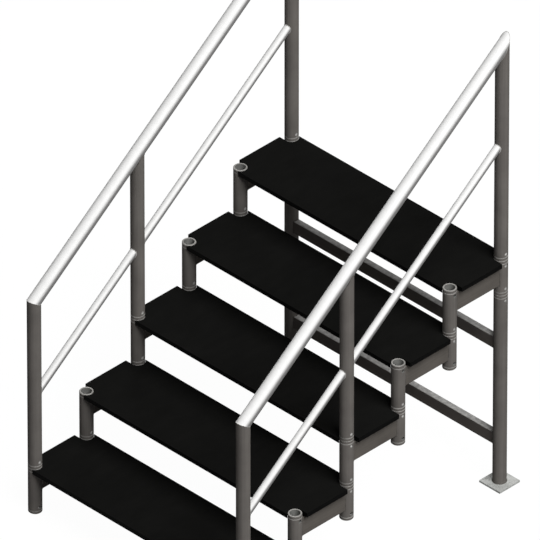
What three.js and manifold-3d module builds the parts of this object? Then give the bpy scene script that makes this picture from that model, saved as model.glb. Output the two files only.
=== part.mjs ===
// Modular stage stairs: five tread modules stacked on round socketed columns, a leg frame at the back
// and two handrails that lift off their sockets.
// Millimetres, +Z up, X across the flight, Y up the flight.
// The flight is laid out from the foot of the left front column and then centred on the origin.

import * as THREE from "three";
import { mergeVertices } from "three/addons/utils/BufferGeometryUtils.js";
import Module from "manifold-3d";

// The flight
const TREAD_COUNT = 5;
const RISE = 190;
const GOING = 250;
const COLUMN_SPACING = 1015; // left column axis to right column axis
const MIDDLE_POST_TREAD = 3; // the middle handrail posts stand on this tread's front columns

// Clearances
const GAP = 0.3; // between pieces that touch, are welded or are cut to each other
const SEAT_GAP = 0.3; // round a coupler's cone in its socket
const OVERRUN = 5; // how far a cutter passes the surface that it cuts

// Round tube of the columns, legs, posts and handrails
const TUBE_DIAMETER = 50;
const TUBE_WALL = 3;
const TUBE_SIDES = 16;
const END_CHAMFER = 1.6;

// Conical coupler joint: the end of every column, leg and post
const SOCKET_MOUTH = 38;
const SOCKET_THROAT = 34;
const COUPLER_REACH = 48; // how deep a coupler sits, on each side of the joint
const PIN_HOLE_DIAMETER = 13;
const PIN_OFFSET = 25; // joint plane to the pin hole's axis
const PIN_HOLE_SIDES = 8;

// Tread module
const REAR_COLUMN_LENGTH = 145; // tread surface down to the rear column's lower end
const BOARD_THICKNESS = 18;
const BOARD_SIDE_OVERHANG = 32.5; // past the column axis at each side
const BOARD_EDGE_OVERHANG = 25; // past the column axis at the front and the back
const NOTCH_REACH = 29.5; // column axis to the wall of the board's corner notch
const RAIL_WIDTH = 30;
const RAIL_HEIGHT = 80;
const RAIL_WALL = 3;
const SEAT_STRIP_WIDTH = 18;
const SEAT_STRIP_HEIGHT = 4; // rib on the rail that carries the board
const CHANNEL_WIDTH = 140; // cross channel under the middle of the board
const CHANNEL_DEPTH = 50;
const CHANNEL_PLATE = 4;
const CHANNEL_LIP = 16;

// Leg frame
const BASE_PLATE_SIZE = 100;
const BASE_PLATE_THICKNESS = 8;
const CROSSBAR_HEIGHT = 50;
const CROSSBAR_DEPTH = 25;
const CROSSBAR_WALL = 3;
const LOWER_CROSSBAR_LEVEL = 183; // floor to the bar's axis
const UPPER_CROSSBAR_LEVEL = 587;

// Handrail
const HANDRAIL_HEIGHT = 690; // front post's foot to the handrail's axis
const KNEE_RAIL_HEIGHT = 295; // front post's foot to the knee rail's axis
const KNEE_RAIL_DIAMETER = 30;
const KNEE_RAIL_WALL = 2.5;
const KNEE_RAIL_SIDES = 12;

// Derived sizes
const TUBE_RADIUS = TUBE_DIAMETER / 2;
const TUBE_BORE_RADIUS = TUBE_RADIUS - TUBE_WALL;
const FLIGHT_LENGTH = TREAD_COUNT * GOING;
const FLIGHT_HEIGHT = TREAD_COUNT * RISE;
const PITCH = Math.atan2(RISE, GOING);
const LEG_TOP = FLIGHT_HEIGHT - REAR_COLUMN_LENGTH;
const LINE_OF_FLIGHT = new THREE.Vector3(0, Math.cos(PITCH), Math.sin(PITCH));
const UP = new THREE.Vector3(0, 0, 1);
const DOWN = new THREE.Vector3(0, 0, -1);
const CUTTER_SIZE = 2 * TUBE_RADIUS * (1 / Math.tan((Math.PI / 2 - PITCH) / 2)) + 4 * TUBE_DIAMETER;

const surface = (color, roughness, metalness) =>
  new THREE.MeshStandardMaterial({ color, roughness, metalness });
const aluminium = (color, roughness) => surface(color, roughness, 1);
const boardMaterial = () => surface(0x141412, 0.7, 0);
const columnMaterial = () => aluminium(0x8a857f, 0.35);
const railMaterial = () => aluminium(0x7f7a74, 0.45);
const handrailMaterial = () => aluminium(0xeceae6, 0.3);
const plateMaterial = () => aluminium(0xc4c5c0, 0.6);

const wasm = await Module();
wasm.setup();

// A closed geometry as a solid that can be joined and cut
function toSolid(geometry) {
  const bare = geometry.clone();
  bare.deleteAttribute("normal");
  bare.deleteAttribute("uv");
  const merged = mergeVertices(bare);
  const mesh = new wasm.Mesh({
    numProp: 3,
    vertProperties: merged.getAttribute("position").array,
    triVerts: new Uint32Array(merged.index.array),
  });
  return new wasm.Manifold(mesh);
}

function toGeometry(solid) {
  const mesh = solid.getMesh();
  const geometry = new THREE.BufferGeometry();
  geometry.setAttribute("position", new THREE.BufferAttribute(mesh.vertProperties, 3));
  geometry.setIndex(new THREE.BufferAttribute(mesh.triVerts, 1));
  geometry.computeVertexNormals();
  return geometry;
}

function cutFrom(solid, ...cutters) {
  return cutters.reduce((left, cutter) => left.subtract(toSolid(cutter)), solid);
}

// A profile of [radius, height] points turned about the Z axis
function turned(points, sides) {
  return new THREE.LatheGeometry(points, sides).rotateX(Math.PI / 2);
}

// Ends of a round tube, as [radius, distance past the end face] from the bore to the outside
const socketEnd = [
  [SOCKET_THROAT / 2, -COUPLER_REACH],
  [SOCKET_MOUTH / 2, 0],
  [TUBE_RADIUS - END_CHAMFER, 0],
  [TUBE_RADIUS, -END_CHAMFER],
];
const couplerEnd = (boreRadius) => [
  [boreRadius, -COUPLER_REACH],
  [0, -COUPLER_REACH],
  [0, COUPLER_REACH],
  [SOCKET_THROAT / 2 - SEAT_GAP, COUPLER_REACH],
  [SOCKET_MOUTH / 2 - SEAT_GAP, 0],
  [TUBE_RADIUS - END_CHAMFER, 0],
  [TUBE_RADIUS, -END_CHAMFER],
];
const plainEnd = (boreRadius, radius = TUBE_RADIUS) => [
  [boreRadius, 0],
  [radius, 0],
];

// Tube from one height to another on the Z axis
// A coupler closes the bore, so the profile then runs from the axis to the axis
function tube({ from, to, foot, head, sides = TUBE_SIDES }) {
  const lower = foot.map(([radius, past]) => new THREE.Vector2(radius, from - past));
  const upper = head.map(([radius, past]) => new THREE.Vector2(radius, to + past)).reverse();
  const loop = [...lower, ...upper];
  const onAxis = loop.findIndex((point, i) => point.x === 0 && loop[(i + 1) % loop.length].x === 0);
  const profile =
    onAxis < 0 ? [...loop, loop[0].clone()] : [...loop.slice(onAxis + 1), ...loop.slice(0, onAxis + 1)];
  return turned(profile, sides);
}

// Cutter for a cross hole for a pin, along X
function pinHole(height) {
  const length = TUBE_DIAMETER + 2 * OVERRUN;
  return new THREE.CylinderGeometry(PIN_HOLE_DIAMETER / 2, PIN_HOLE_DIAMETER / 2, length, PIN_HOLE_SIDES)
    .rotateZ(Math.PI / 2)
    .translate(0, 0, height);
}

const drilled = (geometry, heights) => toGeometry(cutFrom(toSolid(geometry), ...heights.map(pinHole)));

// Cutter that copes a piece to a round tube, at x, y and from one height to another
function copeCutter(x, y, from, to) {
  const radius = TUBE_RADIUS + GAP;
  return tube({ from, to, foot: plainEnd(0, radius), head: plainEnd(0, radius) }).translate(x, y, 0);
}

// Cutter that mitres a tube to another at a corner
// The tube leaves the corner along "kept", and the other one leaves it along "other"
function mitreCutter(kept, other, corner) {
  const normal = kept.clone().sub(other).normalize();
  const turn = new THREE.Quaternion().setFromUnitVectors(UP, normal);
  const centre = normal.clone().multiplyScalar((GAP - CUTTER_SIZE) / 2).add(corner);
  return new THREE.BoxGeometry(CUTTER_SIZE, CUTTER_SIZE, CUTTER_SIZE)
    .applyQuaternion(turn)
    .translate(centre.x, centre.y, centre.z);
}

// Rectangle of the given width and height about the origin, as an outline
function rectangle(width, height, OutlineClass) {
  const outline = new OutlineClass();
  outline.moveTo(-width / 2, -height / 2);
  outline.lineTo(width / 2, -height / 2);
  outline.lineTo(width / 2, height / 2);
  outline.lineTo(-width / 2, height / 2);
  outline.closePath();
  return outline;
}

const extruded = (shape, depth) => new THREE.ExtrudeGeometry(shape, { depth, bevelEnabled: false });

// Section drawn in X and Z, extruded along Y from zero
function alongY(shape, length) {
  return extruded(shape, length).rotateX(Math.PI / 2).translate(0, length, 0);
}

// Section drawn in Y and Z, extruded along X from zero
function alongX(shape, length) {
  return extruded(shape, length).rotateX(Math.PI / 2).rotateZ(Math.PI / 2);
}

function frontColumn(standsOnColumn) {
  const blank = tube({ from: standsOnColumn ? GAP : 0, to: RISE, foot: socketEnd, head: socketEnd });
  return drilled(blank, [PIN_OFFSET, RISE - PIN_OFFSET]);
}

// Rear column hung from its joint plane at zero
// All but the last carry a coupler for the next module's front column
function rearColumn(isLast) {
  const head = isLast ? socketEnd : couplerEnd(SOCKET_THROAT / 2);
  const from = (isLast ? GAP : 0) - REAR_COLUMN_LENGTH;
  const heights = [PIN_OFFSET - REAR_COLUMN_LENGTH, -PIN_OFFSET, ...(isLast ? [] : [PIN_OFFSET])];
  return drilled(tube({ from, to: 0, foot: socketEnd, head }), heights);
}

// Hollow rail with a seat strip on top, between the two columns of one side, top of the strip at zero
function sideRail() {
  const top = SEAT_STRIP_HEIGHT;
  const outline = new THREE.Shape();
  outline.moveTo(-RAIL_WIDTH / 2, -top - RAIL_HEIGHT);
  outline.lineTo(RAIL_WIDTH / 2, -top - RAIL_HEIGHT);
  outline.lineTo(RAIL_WIDTH / 2, -top);
  outline.lineTo(SEAT_STRIP_WIDTH / 2, -top);
  outline.lineTo(SEAT_STRIP_WIDTH / 2, 0);
  outline.lineTo(-SEAT_STRIP_WIDTH / 2, 0);
  outline.lineTo(-SEAT_STRIP_WIDTH / 2, -top);
  outline.lineTo(-RAIL_WIDTH / 2, -top);
  outline.closePath();
  const inside = new THREE.Path();
  inside.moveTo(-RAIL_WIDTH / 2 + RAIL_WALL, -top - RAIL_HEIGHT + RAIL_WALL);
  inside.lineTo(-RAIL_WIDTH / 2 + RAIL_WALL, -top - RAIL_WALL);
  inside.lineTo(RAIL_WIDTH / 2 - RAIL_WALL, -top - RAIL_WALL);
  inside.lineTo(RAIL_WIDTH / 2 - RAIL_WALL, -top - RAIL_HEIGHT + RAIL_WALL);
  inside.closePath();
  outline.holes.push(inside);
  const bottom = -top - RAIL_HEIGHT - OVERRUN;
  const copes = [0, GOING].map((y) => copeCutter(0, y, bottom, OVERRUN));
  return toGeometry(cutFrom(toSolid(alongY(outline, GOING)), ...copes));
}

// Folded channel, open downwards, between the side rails, top at zero
function crossChannel() {
  const half = CHANNEL_WIDTH / 2;
  const outline = new THREE.Shape();
  outline.moveTo(-half, 0);
  outline.lineTo(-half, -CHANNEL_DEPTH);
  outline.lineTo(-half + CHANNEL_LIP, -CHANNEL_DEPTH);
  outline.lineTo(-half + CHANNEL_LIP, -CHANNEL_DEPTH + CHANNEL_PLATE);
  outline.lineTo(-half + CHANNEL_PLATE, -CHANNEL_DEPTH + CHANNEL_PLATE);
  outline.lineTo(-half + CHANNEL_PLATE, -CHANNEL_PLATE);
  outline.lineTo(half - CHANNEL_PLATE, -CHANNEL_PLATE);
  outline.lineTo(half - CHANNEL_PLATE, -CHANNEL_DEPTH + CHANNEL_PLATE);
  outline.lineTo(half - CHANNEL_LIP, -CHANNEL_DEPTH + CHANNEL_PLATE);
  outline.lineTo(half - CHANNEL_LIP, -CHANNEL_DEPTH);
  outline.lineTo(half, -CHANNEL_DEPTH);
  outline.lineTo(half, 0);
  outline.closePath();
  const start = RAIL_WIDTH / 2 + GAP;
  return alongX(outline, COLUMN_SPACING - 2 * start).translate(start, GOING / 2, 0);
}

// Board with a notch round each column, underside at zero
function treadBoard() {
  const left = -BOARD_SIDE_OVERHANG;
  const right = COLUMN_SPACING + BOARD_SIDE_OVERHANG;
  const front = -BOARD_EDGE_OVERHANG;
  const back = GOING + BOARD_EDGE_OVERHANG;
  const outline = new THREE.Shape();
  outline.moveTo(NOTCH_REACH, front);
  outline.lineTo(COLUMN_SPACING - NOTCH_REACH, front);
  outline.lineTo(COLUMN_SPACING - NOTCH_REACH, NOTCH_REACH);
  outline.lineTo(right, NOTCH_REACH);
  outline.lineTo(right, GOING - NOTCH_REACH);
  outline.lineTo(COLUMN_SPACING - NOTCH_REACH, GOING - NOTCH_REACH);
  outline.lineTo(COLUMN_SPACING - NOTCH_REACH, back);
  outline.lineTo(NOTCH_REACH, back);
  outline.lineTo(NOTCH_REACH, GOING - NOTCH_REACH);
  outline.lineTo(left, GOING - NOTCH_REACH);
  outline.lineTo(left, NOTCH_REACH);
  outline.lineTo(NOTCH_REACH, NOTCH_REACH);
  outline.closePath();
  return extruded(outline, BOARD_THICKNESS);
}

// Leg from the base plate up to the last rear column, with a coupler at its head
function leg() {
  const from = BASE_PLATE_THICKNESS + GAP;
  const foot = plainEnd(TUBE_BORE_RADIUS);
  return drilled(tube({ from, to: LEG_TOP, foot, head: couplerEnd(TUBE_BORE_RADIUS) }), [
    LEG_TOP - PIN_OFFSET,
    LEG_TOP + PIN_OFFSET,
  ]);
}

const basePlate = () =>
  extruded(rectangle(BASE_PLATE_SIZE, BASE_PLATE_SIZE, THREE.Shape), BASE_PLATE_THICKNESS);

// Hollow bar between the legs, coped to both, axis at zero
function crossbar() {
  const outline = rectangle(CROSSBAR_DEPTH, CROSSBAR_HEIGHT, THREE.Shape);
  outline.holes.push(
    rectangle(CROSSBAR_DEPTH - 2 * CROSSBAR_WALL, CROSSBAR_HEIGHT - 2 * CROSSBAR_WALL, THREE.Path),
  );
  const reach = CROSSBAR_HEIGHT / 2 + OVERRUN;
  const copes = [0, COLUMN_SPACING].map((x) => copeCutter(x, 0, -reach, reach));
  return toGeometry(cutFrom(toSolid(alongX(outline, COLUMN_SPACING)), ...copes));
}

// Height of a line that runs parallel to the flight, at a distance y from the front posts' axes
const along = (heightAtFront, y) => RISE + heightAtFront + y * Math.tan(PITCH);

// A round tube that follows the flight from y to endY
// Its axis passes the front post at heightAtFront over the post's foot
function slopingTube(y, endY, heightAtFront, radius, boreRadius, sides) {
  const turn = new THREE.Quaternion().setFromUnitVectors(UP, LINE_OF_FLIGHT);
  const ends = plainEnd(boreRadius, radius);
  return tube({ from: y / Math.cos(PITCH), to: endY / Math.cos(PITCH), foot: ends, head: ends, sides })
    .applyQuaternion(turn)
    .translate(0, 0, along(heightAtFront, 0));
}

const frontCorner = new THREE.Vector3(0, 0, along(HANDRAIL_HEIGHT, 0));
const backCorner = new THREE.Vector3(0, FLIGHT_LENGTH, along(HANDRAIL_HEIGHT, FLIGHT_LENGTH));
const downTheFlight = LINE_OF_FLIGHT.clone().negate();

function handrail() {
  const start = -TUBE_DIAMETER;
  const end = FLIGHT_LENGTH + TUBE_DIAMETER;
  const blank = slopingTube(start, end, HANDRAIL_HEIGHT, TUBE_RADIUS, TUBE_BORE_RADIUS, TUBE_SIDES);
  const frontMitre = mitreCutter(LINE_OF_FLIGHT, DOWN, frontCorner);
  const backMitre = mitreCutter(downTheFlight, DOWN, backCorner);
  return toGeometry(cutFrom(toSolid(blank), frontMitre, backMitre));
}

// Post with a coupler at its foot, at y on the joint plane at footHeight, cut at the top by cutters
function post(y, footHeight, top, ...cutters) {
  const foot = couplerEnd(TUBE_BORE_RADIUS);
  const blank = tube({ from: footHeight + GAP, to: top, foot, head: plainEnd(TUBE_BORE_RADIUS) });
  const holes = [footHeight - PIN_OFFSET, footHeight + PIN_OFFSET].map(pinHole);
  const standing = cutFrom(toSolid(blank), ...holes).translate(0, y, 0);
  return toGeometry(cutFrom(standing, ...cutters));
}

function frontPost() {
  const mitre = mitreCutter(DOWN, LINE_OF_FLIGHT, frontCorner);
  return post(0, RISE, frontCorner.z + TUBE_DIAMETER, mitre);
}

function rearPost() {
  const mitre = mitreCutter(DOWN, downTheFlight, backCorner);
  return post(FLIGHT_LENGTH, FLIGHT_HEIGHT, backCorner.z + 2 * TUBE_DIAMETER, mitre);
}

const middlePostY = (MIDDLE_POST_TREAD - 1) * GOING;

function middlePost() {
  const cope = slopingTube(0, FLIGHT_LENGTH, HANDRAIL_HEIGHT, TUBE_RADIUS + GAP, 0, TUBE_SIDES);
  return post(middlePostY, MIDDLE_POST_TREAD * RISE, along(HANDRAIL_HEIGHT, middlePostY), cope);
}

// Knee rail length between two posts, coped to both
function kneeRail(y, endY) {
  const radius = KNEE_RAIL_DIAMETER / 2;
  const blank = slopingTube(y, endY, KNEE_RAIL_HEIGHT, radius, radius - KNEE_RAIL_WALL, KNEE_RAIL_SIDES);
  const copes = [y, endY].map((at) => {
    const height = along(KNEE_RAIL_HEIGHT, at);
    return copeCutter(0, at, height - 2 * KNEE_RAIL_DIAMETER, height + 2 * KNEE_RAIL_DIAMETER);
  });
  return toGeometry(cutFrom(toSolid(blank), ...copes));
}

// The flight reaches from the first board's front edge to the back edge of the base plates
const middleY = (FLIGHT_LENGTH + BASE_PLATE_SIZE / 2 - BOARD_EDGE_OVERHANG) / 2;
const stairs = new THREE.Group();
stairs.position.set(-COLUMN_SPACING / 2, -middleY, 0);

function place(group, name, geometry, material, x, y, z) {
  const mesh = new THREE.Mesh(geometry, material);
  mesh.name = name;
  mesh.position.set(x, y, z);
  group.add(mesh);
}

const sides = [
  ["left", 0],
  ["right", COLUMN_SPACING],
];

function addModules() {
  const shared = {
    board: treadBoard(),
    channel: crossChannel(),
    rail: sideRail(),
    floorColumn: frontColumn(false),
    frontColumn: frontColumn(true),
    rearColumn: rearColumn(false),
    lastColumn: rearColumn(true),
  };
  const underBoard = -BOARD_THICKNESS - GAP;
  for (let tread = 1; tread <= TREAD_COUNT; tread++) {
    const module = new THREE.Group();
    module.position.set(0, (tread - 1) * GOING, tread * RISE);
    stairs.add(module);
    place(module, `tread_board_${tread}`, shared.board, boardMaterial(), 0, 0, -BOARD_THICKNESS);
    place(module, `cross_channel_${tread}`, shared.channel, railMaterial(), 0, 0, underBoard);
    const front = tread === 1 ? shared.floorColumn : shared.frontColumn;
    const rear = tread === TREAD_COUNT ? shared.lastColumn : shared.rearColumn;
    for (const [side, x] of sides) {
      place(module, `${side}_side_rail_${tread}`, shared.rail, railMaterial(), x, 0, underBoard);
      place(module, `${side}_front_column_${tread}`, front, columnMaterial(), x, 0, -RISE);
      place(module, `${side}_rear_column_${tread}`, rear, columnMaterial(), x, GOING, 0);
    }
  }
}

function addLegFrame() {
  const frame = new THREE.Group();
  frame.position.set(0, FLIGHT_LENGTH, 0);
  stairs.add(frame);
  const bar = crossbar();
  const legTube = leg();
  const plate = basePlate();
  place(frame, "lower_crossbar", bar, railMaterial(), 0, 0, LOWER_CROSSBAR_LEVEL);
  place(frame, "upper_crossbar", bar, railMaterial(), 0, 0, UPPER_CROSSBAR_LEVEL);
  for (const [side, x] of sides) {
    place(frame, `${side}_leg`, legTube, columnMaterial(), x, 0, 0);
    place(frame, `${side}_base_plate`, plate, plateMaterial(), x, 0, 0);
  }
}

function addHandrails() {
  const posts = {
    front_post: frontPost(),
    middle_post: middlePost(),
    rear_post: rearPost(),
  };
  const rails = {
    handrail: handrail(),
    lower_knee_rail: kneeRail(0, middlePostY),
    upper_knee_rail: kneeRail(middlePostY, FLIGHT_LENGTH),
  };
  for (const [side, x] of sides) {
    const guard = new THREE.Group();
    guard.position.set(x, 0, 0);
    stairs.add(guard);
    for (const [name, geometry] of Object.entries(posts)) {
      place(guard, `${side}_${name}`, geometry, columnMaterial(), 0, 0, 0);
    }
    for (const [name, geometry] of Object.entries(rails)) {
      place(guard, `${side}_${name}`, geometry, handrailMaterial(), 0, 0, 0);
    }
  }
}

addModules();
addLegFrame();
addHandrails();

export default stairs;
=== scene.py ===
import math

import bmesh
import bpy
import numpy as np
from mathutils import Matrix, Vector

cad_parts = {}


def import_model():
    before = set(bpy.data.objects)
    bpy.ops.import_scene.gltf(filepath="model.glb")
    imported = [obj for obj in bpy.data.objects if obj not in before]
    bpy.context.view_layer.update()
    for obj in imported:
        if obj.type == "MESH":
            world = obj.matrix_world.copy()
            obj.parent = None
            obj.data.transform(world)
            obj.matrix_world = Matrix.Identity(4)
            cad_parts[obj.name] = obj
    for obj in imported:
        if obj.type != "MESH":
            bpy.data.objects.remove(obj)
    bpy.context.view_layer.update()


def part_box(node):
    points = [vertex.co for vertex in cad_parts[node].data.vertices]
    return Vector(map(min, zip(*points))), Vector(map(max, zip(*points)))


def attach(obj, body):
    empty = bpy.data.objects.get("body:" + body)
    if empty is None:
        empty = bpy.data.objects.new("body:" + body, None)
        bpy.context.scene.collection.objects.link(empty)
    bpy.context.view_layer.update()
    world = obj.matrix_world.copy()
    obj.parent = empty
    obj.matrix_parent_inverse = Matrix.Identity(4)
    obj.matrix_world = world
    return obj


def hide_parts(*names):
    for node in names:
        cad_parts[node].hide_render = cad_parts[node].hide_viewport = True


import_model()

# Sizes are in millimetres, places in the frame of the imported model.
MM = 0.001
SIDE_NAMES = ("left", "right")
TREADS = range(1, 6)

# Round tube and its ends. GAP is what the model leaves between solids that are joined.
TUBE_SIDES = 64
TUBE_RADIUS = 25.0
TUBE_BORE = 22.0
GAP = 0.3
MOUTH = 19.0
THROAT = 17.0
REACH = 48.0
TIP_GAP = 1.0
SEAT_GAP = 0.3
CHAMFER = 1.6
RIM_EDGE = 0.7
GROOVE_OFFSET = 12.5
GROOVE_HALF = 2.1
GROOVE_FLOOR = 0.7
GROOVE_DEPTH = 1.0
PIN_OFFSET = 25.0
HOLE_RADIUS = 6.5
HOLE_SIDES = 32
COUNTERSINK = 0.5
COUNTERSINK_TOP = 24.6
COUNTERSINK_FLOOR = 24.0
CUTTER_HALF = 60.0
REAR_LENGTH = 145.0

# Tread module
BOARD_THICKNESS = 18.0
NOTCH_RADIUS = 26.5
NOTCH_TIP = 62.0
NOTCH_STEP = 9
BOARD_EDGE = 0.7
BOARD_CORNER = 1.5
RAIL_WIDTH = 30.0
RAIL_HEIGHT = 80.0
RAIL_WALL = 3.0
RAIL_CORNER = 3.0
STRIP_WIDTH = 18.0
STRIP_HEIGHT = 4.0
STRIP_EDGE = 0.4
PLATE_EDGE = 0.7
BAR_CORNER = 3.0
BAR_WALL = 3.0
BAR_STEP = 3.0
CHANNEL_PLATE = 4.0
CHANNEL_LIP = 16.0
CHANNEL_BEND = 6.0
CHANNEL_INSIDE = 2.0
CHANNEL_LIP_EDGE = 0.5

# Handrail
MIDDLE_TREAD = 3
HANDRAIL_HEIGHT = 690.0
KNEE_HEIGHT = 295.0
KNEE_RADIUS = 15.0
KNEE_BORE = 12.5
KNEE_SIDES = 48

# Welds: BEAD and SEAM are radii. A bead's rings are thick and thin in turn, and swell slowly along it.
BEAD = 1.7
SEAM = 0.8
BEAD_STEP = 1.25
BEAD_SIDES = 6
BEAD_RIPPLES = (0.94, 1.08)
BEAD_SWELL = 0.06
BEAD_SWELL_PACE = 0.37
BEAD_TILT = 0.8
BAR_BEAD_LIFT = 0.5
BAR_BEAD_SPREAD = 1.2

# Pins
PIN_RADIUS = 6.2
PIN_HALF = 23.0
PIN_EDGE = 0.8
PIN_FLOOR = 21.8
PULL_HOLE = 2.1
PULL_HOLE_MOUTH = 2.7
PULL_HOLE_SINK = 0.6
PLUG_START = 20.0

# Face tags, which are the material slots of a piece
MAIN, CUT, INSIDE, WELD, ROLLED = range(5)

# How finely shapes are made. A rounded corner takes up no more than CORNER_SHARE of a run.
ON_AXIS = 1e-6
MERGE = 1e-4
CORNER_SHARE = 0.45
FILLET_STEPS = 3
OUTLINE_STEPS = 4
CORNER_POINTS = 6
BEVEL_SEGMENTS = 2
BEVEL_ANGLE = math.radians(40)
SHARP_ANGLE = math.radians(33)
SKIN_TOLERANCE = 0.02


class Solid:
    """Vertices, faces and one tag for each face."""

    def __init__(self, verts=(), faces=(), tags=()):
        self.verts = list(verts)
        self.faces = list(faces)
        self.tags = list(tags)

    def moved(self, x=0.0, y=0.0, z=0.0):
        return Solid([(a + x, b + y, c + z) for a, b, c in self.verts], self.faces, self.tags)

    def joined(self, *others):
        made = Solid(self.verts, self.faces, self.tags)
        for other in others:
            start = len(made.verts)
            made.verts += other.verts
            made.faces += [[start + i for i in face] for face in other.faces]
            made.tags += other.tags
        return made


def to_mesh(solid, name, scale=MM):
    """Clean mesh of a solid: doubles merged and normals turned outwards."""
    mesh = bpy.data.meshes.new(name)
    mesh.from_pydata([(x * scale, y * scale, z * scale) for x, y, z in solid.verts], [], solid.faces)
    mesh.polygons.foreach_set("material_index", solid.tags)
    work = bmesh.new()
    work.from_mesh(mesh)
    bmesh.ops.remove_doubles(work, verts=work.verts, dist=MERGE * scale)
    bmesh.ops.dissolve_degenerate(work, edges=work.edges, dist=MERGE * scale)
    bmesh.ops.recalc_face_normals(work, faces=work.faces)
    work.to_mesh(mesh)
    work.free()
    return mesh


def from_mesh(mesh):
    return Solid(
        [tuple(v.co) for v in mesh.vertices],
        [list(p.vertices) for p in mesh.polygons],
        [p.material_index for p in mesh.polygons],
    )


def with_modifiers(mesh, setups):
    """The mesh once modifiers are applied. Each setup is (type, {setting: value})."""
    made = bpy.data.objects.new("work", mesh)
    bpy.context.scene.collection.objects.link(made)
    for kind, settings in setups:
        modifier = made.modifiers.new(kind, kind)
        for key, value in settings.items():
            setattr(modifier, key, value)
    shown = made.evaluated_get(bpy.context.evaluated_depsgraph_get())
    result = bpy.data.meshes.new_from_object(shown)
    bpy.data.objects.remove(made)
    return result


def fillet(points, steps=FILLET_STEPS):
    """Points (u, v, radius, tag) of a line as (u, v, tag) with rounded corners.
    A tag is for the stretch that follows its point."""
    line = []
    for i, (u, v, radius, tag) in enumerate(points):
        if radius <= 0 or i in (0, len(points) - 1):
            line.append((u, v, tag))
            continue
        corner = Vector((u, v))
        back = Vector(points[i - 1][:2]) - corner
        ahead = Vector(points[i + 1][:2]) - corner
        half = back.angle(ahead) / 2
        cut = min(radius / math.tan(half), CORNER_SHARE * back.length, CORNER_SHARE * ahead.length)
        radius = cut * math.tan(half)
        centre = corner + (back.normalized() + ahead.normalized()).normalized() * (radius / math.sin(half))
        start = corner + back.normalized() * cut - centre
        end = corner + ahead.normalized() * cut - centre
        turn = math.atan2(start.x * end.y - start.y * end.x, start.dot(end))
        for step in range(steps + 1):
            a = turn * step / steps
            x = centre.x + start.x * math.cos(a) - start.y * math.sin(a)
            y = centre.y + start.x * math.sin(a) + start.y * math.cos(a)
            line.append((x, y, tag if step == steps else max(tag, points[i - 1][3])))
    return line


def lathe(profile, sides=TUBE_SIDES):
    """Solid turned about Z from (radius, height, tag) points: a loop, or a line from axis to axis.
    A height may be a function of x and y."""
    solid = Solid()
    rings = []
    for radius, height, _ in profile:
        if radius < ON_AXIS:
            rings.append([len(solid.verts)] * sides)
            solid.verts.append((0.0, 0.0, height))
            continue
        ring = []
        for i in range(sides):
            a = 2 * math.pi * i / sides
            x, y = radius * math.cos(a), radius * math.sin(a)
            ring.append(len(solid.verts))
            solid.verts.append((x, y, height(x, y) if callable(height) else height))
        rings.append(ring)
    is_line = profile[0][0] < ON_AXIS
    for k in range(len(profile) - is_line):
        low, high = rings[k], rings[(k + 1) % len(rings)]
        for i in range(sides):
            j = (i + 1) % sides
            corners = [low[i], low[j], high[j], high[i]]
            solid.faces.append([c for n, c in enumerate(corners) if c not in corners[:n]])
            solid.tags.append(profile[k][2])
    return solid


# Ends of a round tube as (radius, distance past the end, rounding, tag), from the bore to the outside
GROOVE = [
    (TUBE_RADIUS, GROOVE_HALF - GROOVE_OFFSET, 1.2, ROLLED),
    (TUBE_RADIUS - GROOVE_DEPTH, GROOVE_FLOOR - GROOVE_OFFSET, 0.5, ROLLED),
    (TUBE_RADIUS - GROOVE_DEPTH, -GROOVE_FLOOR - GROOVE_OFFSET, 0.5, ROLLED),
    (TUBE_RADIUS, -GROOVE_HALF - GROOVE_OFFSET, 1.2, MAIN),
]
RIM = [
    (TUBE_RADIUS - CHAMFER, 0, 0.35, ROLLED),
    (TUBE_RADIUS, -CHAMFER, 0.5, MAIN),
    *GROOVE,
]
SOCKET_END = [
    (THROAT, -REACH, 1.0, INSIDE),
    (MOUTH, -RIM_EDGE, 0.3, CUT),
    (MOUTH + RIM_EDGE, 0, 0.3, CUT),
    *RIM,
]


def coupler_end(bore):
    """End with a conical coupler, whose plug closes the bore below it."""
    nose, tip = THROAT - SEAT_GAP, REACH - TIP_GAP
    return [
        (bore, -REACH, 0, INSIDE),
        (0, -REACH, 0, CUT),
        (0, tip, 0, CUT),
        (nose - 3, tip, 1.5, CUT),
        (nose - 0.8, tip - 0.6, 1.2, CUT),
        (nose + 0.2, tip - 3, 1.0, CUT),
        (MOUTH - SEAT_GAP, 0.4, 0.3, CUT),
        (MOUTH - SEAT_GAP, 0, 0, CUT),
        *RIM,
    ]


def plain_end(bore):
    return [(bore, 0, 0, CUT), (TUBE_RADIUS - 0.6, 0, 0.2, CUT), (TUBE_RADIUS, -0.6, 0.2, MAIN)]


def from_axis(loop):
    """The loop as a line from axis to axis, if two neighbours of it lie on the axis."""
    for i, (radius, *_) in enumerate(loop):
        if radius < ON_AXIS and loop[(i + 1) % len(loop)][0] < ON_AXIS:
            return loop[i + 1 :] + loop[: i + 1]
    return loop


def tube(low, high, foot, head):
    """Round tube on the Z axis between two heights."""
    lower = [(r, low - past, rounding, tag) for r, past, rounding, tag in foot]
    tags = [INSIDE, *(tag for *_, tag in head[:-1])]
    upper = [(r, high + past, rounding, tag) for (r, past, rounding, _), tag in zip(head, tags)]
    return lathe(from_axis(fillet([*lower, *reversed(upper)])))


def cut_tube(low, foot, top):
    """Round tube on the Z axis that ends at a height which is a function of x and y."""
    lower = [(r, low - past, rounding, tag) for r, past, rounding, tag in foot]
    return lathe(from_axis([*fillet(lower), (TUBE_RADIUS, top, CUT), (TUBE_BORE, top, INSIDE)]))


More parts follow.
